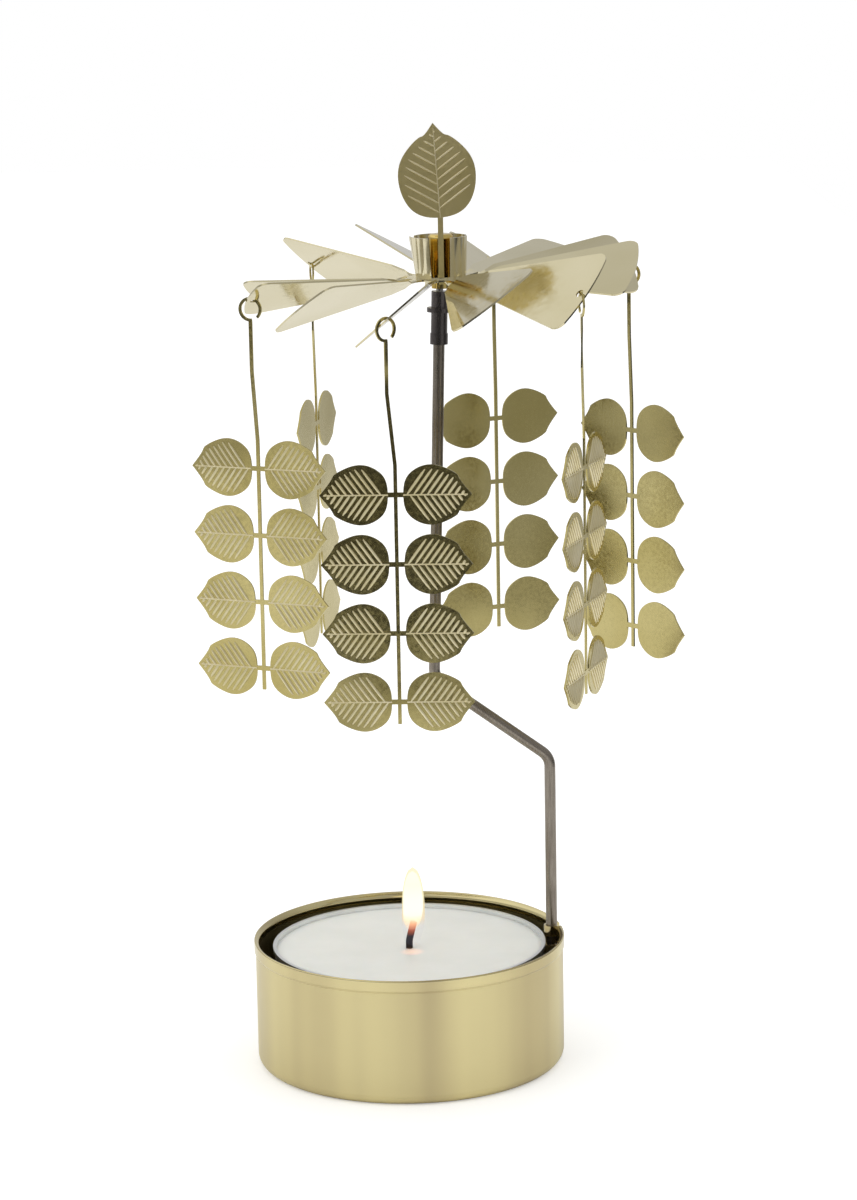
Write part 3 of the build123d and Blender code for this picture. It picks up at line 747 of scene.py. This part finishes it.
def flame_light(name, low, high, tones, opacity, strength):
    """Glowing gas: tones and opacity are (share of height, value) from foot to tip."""
    material, tree, shader = new_material(name)
    place = add(tree, "ShaderNodeTexCoord").outputs["Object"]
    z = add(tree, "ShaderNodeSeparateXYZ", {0: place}).outputs["Z"]
    share = add(tree, "ShaderNodeMapRange", {"Value": z, "From Min": low, "From Max": high})
    ramps = []
    for stops in ([(s, linear(tone)) for s, tone in tones], [(s, (v, v, v, 1)) for s, v in opacity]):
        ramp = add(tree, "ShaderNodeValToRGB", {"Fac": share.outputs["Result"]})
        ramp.color_ramp.elements[0].position, ramp.color_ramp.elements[0].color = stops[0]
        ramp.color_ramp.elements[1].position, ramp.color_ramp.elements[1].color = stops[-1]
        for position, value in stops[1:-1]:
            ramp.color_ramp.elements.new(position).color = value
        ramps.append(ramp.outputs["Color"])
    tree.links.new(ramps[0], shader.inputs["Emission Color"])
    tree.links.new(ramps[1], shader.inputs["Alpha"])
    shader.inputs["Base Color"].default_value = (0, 0, 0, 1)
    shader.inputs["Specular IOR Level"].default_value = 0.0
    shader.inputs["Emission Strength"].default_value = strength
    return material


flame_foot, flame_tip = wax_high.z - 0.1 * mm, 28.2 * mm
core_foot, core_tip = flame_foot + 2.4 * mm, flame_tip - 0.6 * mm
veil_radius, veil_lean, core_radius, core_lean = 1.65 * mm, 0.35 * mm, 1.42 * mm, 0.32 * mm
veil_gas = flame_light(
    "flame_veil",
    flame_foot,
    flame_tip,
    ((0.0, "#b9c6f4"), (0.22, "#d6d6ea"), (0.36, "#ffe2b0"), (0.6, "#fff5c8"), (1.0, "#fcf1c0")),
    ((0.0, 0.02), (0.22, 0.04), (0.4, 0.45), (0.8, 0.7), (1.0, 0.55)),
    1.0,
)
core_gas = flame_light(
    "flame_core",
    flame_foot,
    flame_tip,
    ((0.0, "#ffc890"), (0.3, "#ffd8a0"), (0.42, "#fffcf2"), (0.8, "#fffffa"), (1.0, "#fffdec")),
    ((0.0, 0.0), (0.26, 0.1), (0.42, 0.8), (0.7, 1.0), (1.0, 0.9)),
    1.6,
)
veil = flame_drop("flame_veil", flame_foot, flame_tip, veil_radius, veil_lean, veil_gas)
core = flame_drop("flame_core", core_foot, core_tip, core_radius, core_lean, core_gas)
for drop in (veil, core):
    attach(drop, "tealight")
    drop.visible_shadow = False
print("flame from", round(flame_foot / mm, 1), "to", round(flame_tip / mm, 1), "mm")

# %% [markdown]
# ## Studio
# Polished metal has hardly a colour of its own: it shows the room. In the photograph
# some leaves that face the camera are almost black and those turned aside are pale gold,
# as on a white table that ends in front of the object, with a darker room beyond. The
# world repeats that: white for the camera, soft white for matt surfaces, and for
# reflections a room in grey levels, pale behind the object and with a dark band low in
# front, under a ceiling that is brighter on the left.

# %% World
# Heights and sides are parts of a direction of length 1; the rest are grey levels
band_low, band_high, ceiling_low, ceiling_high = -0.07, 0.03, 0.22, 0.5
ceiling_left, ceiling_right = -0.6, 0.3
room_grey, bright_side, dim_side, matt_light = 0.4, 0.9, 0.45, 0.85
world = bpy.data.worlds.new("white_studio")
bpy.context.scene.world = world
world.use_nodes = True
tree = world.node_tree
tree.nodes.clear()
way = add(tree, "ShaderNodeTexCoord").outputs["Generated"]
axes = add(tree, "ShaderNodeSeparateXYZ", {0: way}).outputs
ahead = add(tree, "ShaderNodeMath", {0: axes["Y"], 1: -1.0}, operation="MULTIPLY").outputs[0]
turn = add(tree, "ShaderNodeMath", {0: axes["X"], 1: ahead}, operation="ARCTAN2").outputs[0]
round_share = add(
    tree, "ShaderNodeMapRange", {"Value": turn, "From Min": -math.pi, "From Max": math.pi}
).outputs["Result"]
# Grey levels around the object, from behind it over its left, the front and its right
room = add(tree, "ShaderNodeValToRGB", {"Fac": round_share})
levels = (
    (0.0, 0.6),
    (0.17, 0.5),
    (0.228, 0.46),
    (0.30, 0.34),
    (0.36, 0.14),
    (0.385, 0.06),
    (0.50, 0.05),
    (0.545, 0.08),
    (0.60, 0.38),
    (0.64, 0.4),
    (0.675, 0.2),
    (0.71, 0.05),
    (0.75, 0.07),
    (0.80, 0.3),
    (0.88, 0.5),
    (1.0, 0.6),
)
for element, (share, level) in zip(room.color_ramp.elements, (levels[0], levels[-1])):
    element.color = (level, level, level, 1)
for share, level in levels[1:-1]:
    room.color_ramp.elements.new(share).color = (level, level, level, 1)
# The dark band is low down, where the table ends; above it the room is grey
grey = add(
    tree,
    "ShaderNodeMapRange",
    {"Value": axes["Z"], "From Min": band_low, "From Max": band_high, "To Max": room_grey},
).outputs["Result"]
lower_room = add(
    tree, "ShaderNodeMath", {0: room.outputs["Color"], 1: grey}, operation="MAXIMUM"
).outputs[0]
overhead = add(
    tree,
    "ShaderNodeMapRange",
    {"Value": axes["Z"], "From Min": ceiling_low, "From Max": ceiling_high},
    interpolation_type="SMOOTHSTEP",
).outputs["Result"]
# The ceiling is lit from the left
ceiling = add(
    tree,
    "ShaderNodeMapRange",
    {
        "Value": axes["X"],
        "From Min": ceiling_left,
        "From Max": ceiling_right,
        "To Min": bright_side,
        "To Max": dim_side,
    },
)
mirrored = add(
    tree,
    "ShaderNodeMix",
    {0: overhead, 6: lower_room, 7: ceiling.outputs["Result"]},
    data_type="RGBA",
).outputs[2]
path = add(tree, "ShaderNodeLightPath").outputs
soft = add(tree, "ShaderNodeBackground", {"Color": (1, 1, 1, 1), "Strength": matt_light}).outputs[0]
seen = add(tree, "ShaderNodeBackground", {"Color": (1, 1, 1, 1), "Strength": 1.0}).outputs[0]
shown = add(tree, "ShaderNodeBackground", {"Color": mirrored, "Strength": 1.0}).outputs[0]
shaded = add(tree, "ShaderNodeMixShader", {0: path["Is Glossy Ray"], 1: soft, 2: shown}).outputs[0]
clear = add(
    tree,
    "ShaderNodeMath",
    {0: path["Is Camera Ray"], 1: path["Is Transmission Ray"]},
    operation="MAXIMUM",
).outputs[0]
whole = add(tree, "ShaderNodeMixShader", {0: clear, 1: shaded, 2: seen}).outputs[0]
add(tree, "ShaderNodeOutputWorld", {"Surface": whole})
print("world:", world.name, "with", len(levels), "grey levels")

# %% [markdown]
# The floor is the white table top. Its edges matter, because each leaf mirrors either
# the table or the dark band beyond an edge, so it is a plain mesh of four corners that
# were set by what the photograph's leaves mirror. The camera sees it as white, through
# some glow for camera rays alone, and it still takes the object's soft shadow.

# %% Floor
camera_lift, grain_size = 0.32, 0.8 * mm
# The front edge runs askew, and is nearer on the right
left_edge, right_edge, back_edge = -0.47, 0.22, 1.6
front_left, front_right = -0.44, -0.18
floor_mesh = bpy.data.meshes.new("table_top")
floor_mesh.from_pydata(
    [
        (left_edge, front_left, 0),
        (right_edge, front_right, 0),
        (right_edge, back_edge, 0),
        (left_edge, back_edge, 0),
    ],
    [],
    [(0, 1, 2, 3)],
)
floor = bpy.data.objects.new("table_top", floor_mesh)
bpy.context.scene.collection.objects.link(floor)
table_white, tree, shader = new_material("white_laminate")
place = add(tree, "ShaderNodeTexCoord").outputs["Object"]
grain = add(tree, "ShaderNodeTexNoise", {"Vector": place, "Scale": 1 / grain_size, "Detail": 2.0})
tone = add(
    tree,
    "ShaderNodeMix",
    {0: grain.outputs["Fac"], 6: linear("#f2f2f1"), 7: linear("#efefee")},
    data_type="RGBA",
)
path = add(tree, "ShaderNodeLightPath").outputs
lift = add(
    tree, "ShaderNodeMath", {0: path["Is Camera Ray"], 1: camera_lift}, operation="MULTIPLY"
).outputs[0]
tree.links.new(tone.outputs[2], shader.inputs["Base Color"])
tree.links.new(lift, shader.inputs["Emission Strength"])
shader.inputs["Emission Color"].default_value = (1, 1, 1, 1)
shader.inputs["Roughness"].default_value = 0.9
shader.inputs["Specular IOR Level"].default_value = 0.1
floor_mesh.materials.append(table_white)
print("table from", front_left, "to", back_edge, "m")

# %% [markdown]
# Three large square lamps give the soft shadow: a warm key from the left, a cooler fill
# from the right and one from above. Metal doesn't mirror them, because the world has
# already drawn what it mirrors, and a lamp would add a hard bright square.


# %% Lamps
def soft_box(name, place, aim, size, watts, colour):
    """Square area lamp at place that faces aim, and that no metal mirrors."""
    data = bpy.data.lights.new(name, "AREA")
    data.shape, data.size, data.energy, data.color = "SQUARE", size, watts, linear(colour)[:3]
    lamp = bpy.data.objects.new(name, data)
    bpy.context.scene.collection.objects.link(lamp)
    lamp.visible_glossy = False
    lamp.location = place
    lamp.rotation_mode = "QUATERNION"
    lamp.rotation_quaternion = (Vector(aim) - Vector(place)).to_track_quat("-Z", "Y")
    return lamp


aim = (0, 0, 0.06)
soft_box("key_light", (-0.75, -0.55, 0.9), aim, 0.7, 2.2, "#fffaf2")
soft_box("fill_light", (0.8, -0.35, 0.6), aim, 0.7, 0.9, "#f6faff")
soft_box("top_light", (0.1, 0.35, 1.1), aim, 0.8, 1.2, "#ffffff")

# %% [markdown]
# ## Camera
# The photograph was matched by fitting the camera to points on the real object: it
# stands about half a metre in front, looks 11.6 degrees down, and is rolled by about a
# degree. A long lens of 106 mm on a 36 mm tall frame gives the same gentle perspective.

# %% Camera
focal_pixels, picture_height, frame_height = 3548.9, 1200, 36
camera_place = Vector((0, -0.49067, 0.16751))
pitch, yaw, roll = math.radians(11.552), math.radians(0.427), math.radians(-1.046)
forward = Vector((math.sin(yaw) * math.cos(pitch), math.cos(yaw) * math.cos(pitch), -math.sin(pitch)))
level = Vector((math.cos(yaw), -math.sin(yaw), 0))
upward = level.cross(forward)
across = level * math.cos(roll) + upward * math.sin(roll)
over = upward * math.cos(roll) - level * math.sin(roll)
camera_data = bpy.data.cameras.new("camera")
camera_data.sensor_width = frame_height
camera_data.lens = focal_pixels * frame_height / picture_height
camera_data.dof.use_dof = False
camera_data.clip_start, camera_data.clip_end = 0.01, 20
camera = bpy.data.objects.new("camera", camera_data)
bpy.context.scene.collection.objects.link(camera)
camera.matrix_world = axes_at(across, over, -forward, camera_place)
bpy.context.scene.camera = camera
bpy.context.scene.view_settings.view_transform = "Standard"
print("lens", round(camera_data.lens, 1), "mm")
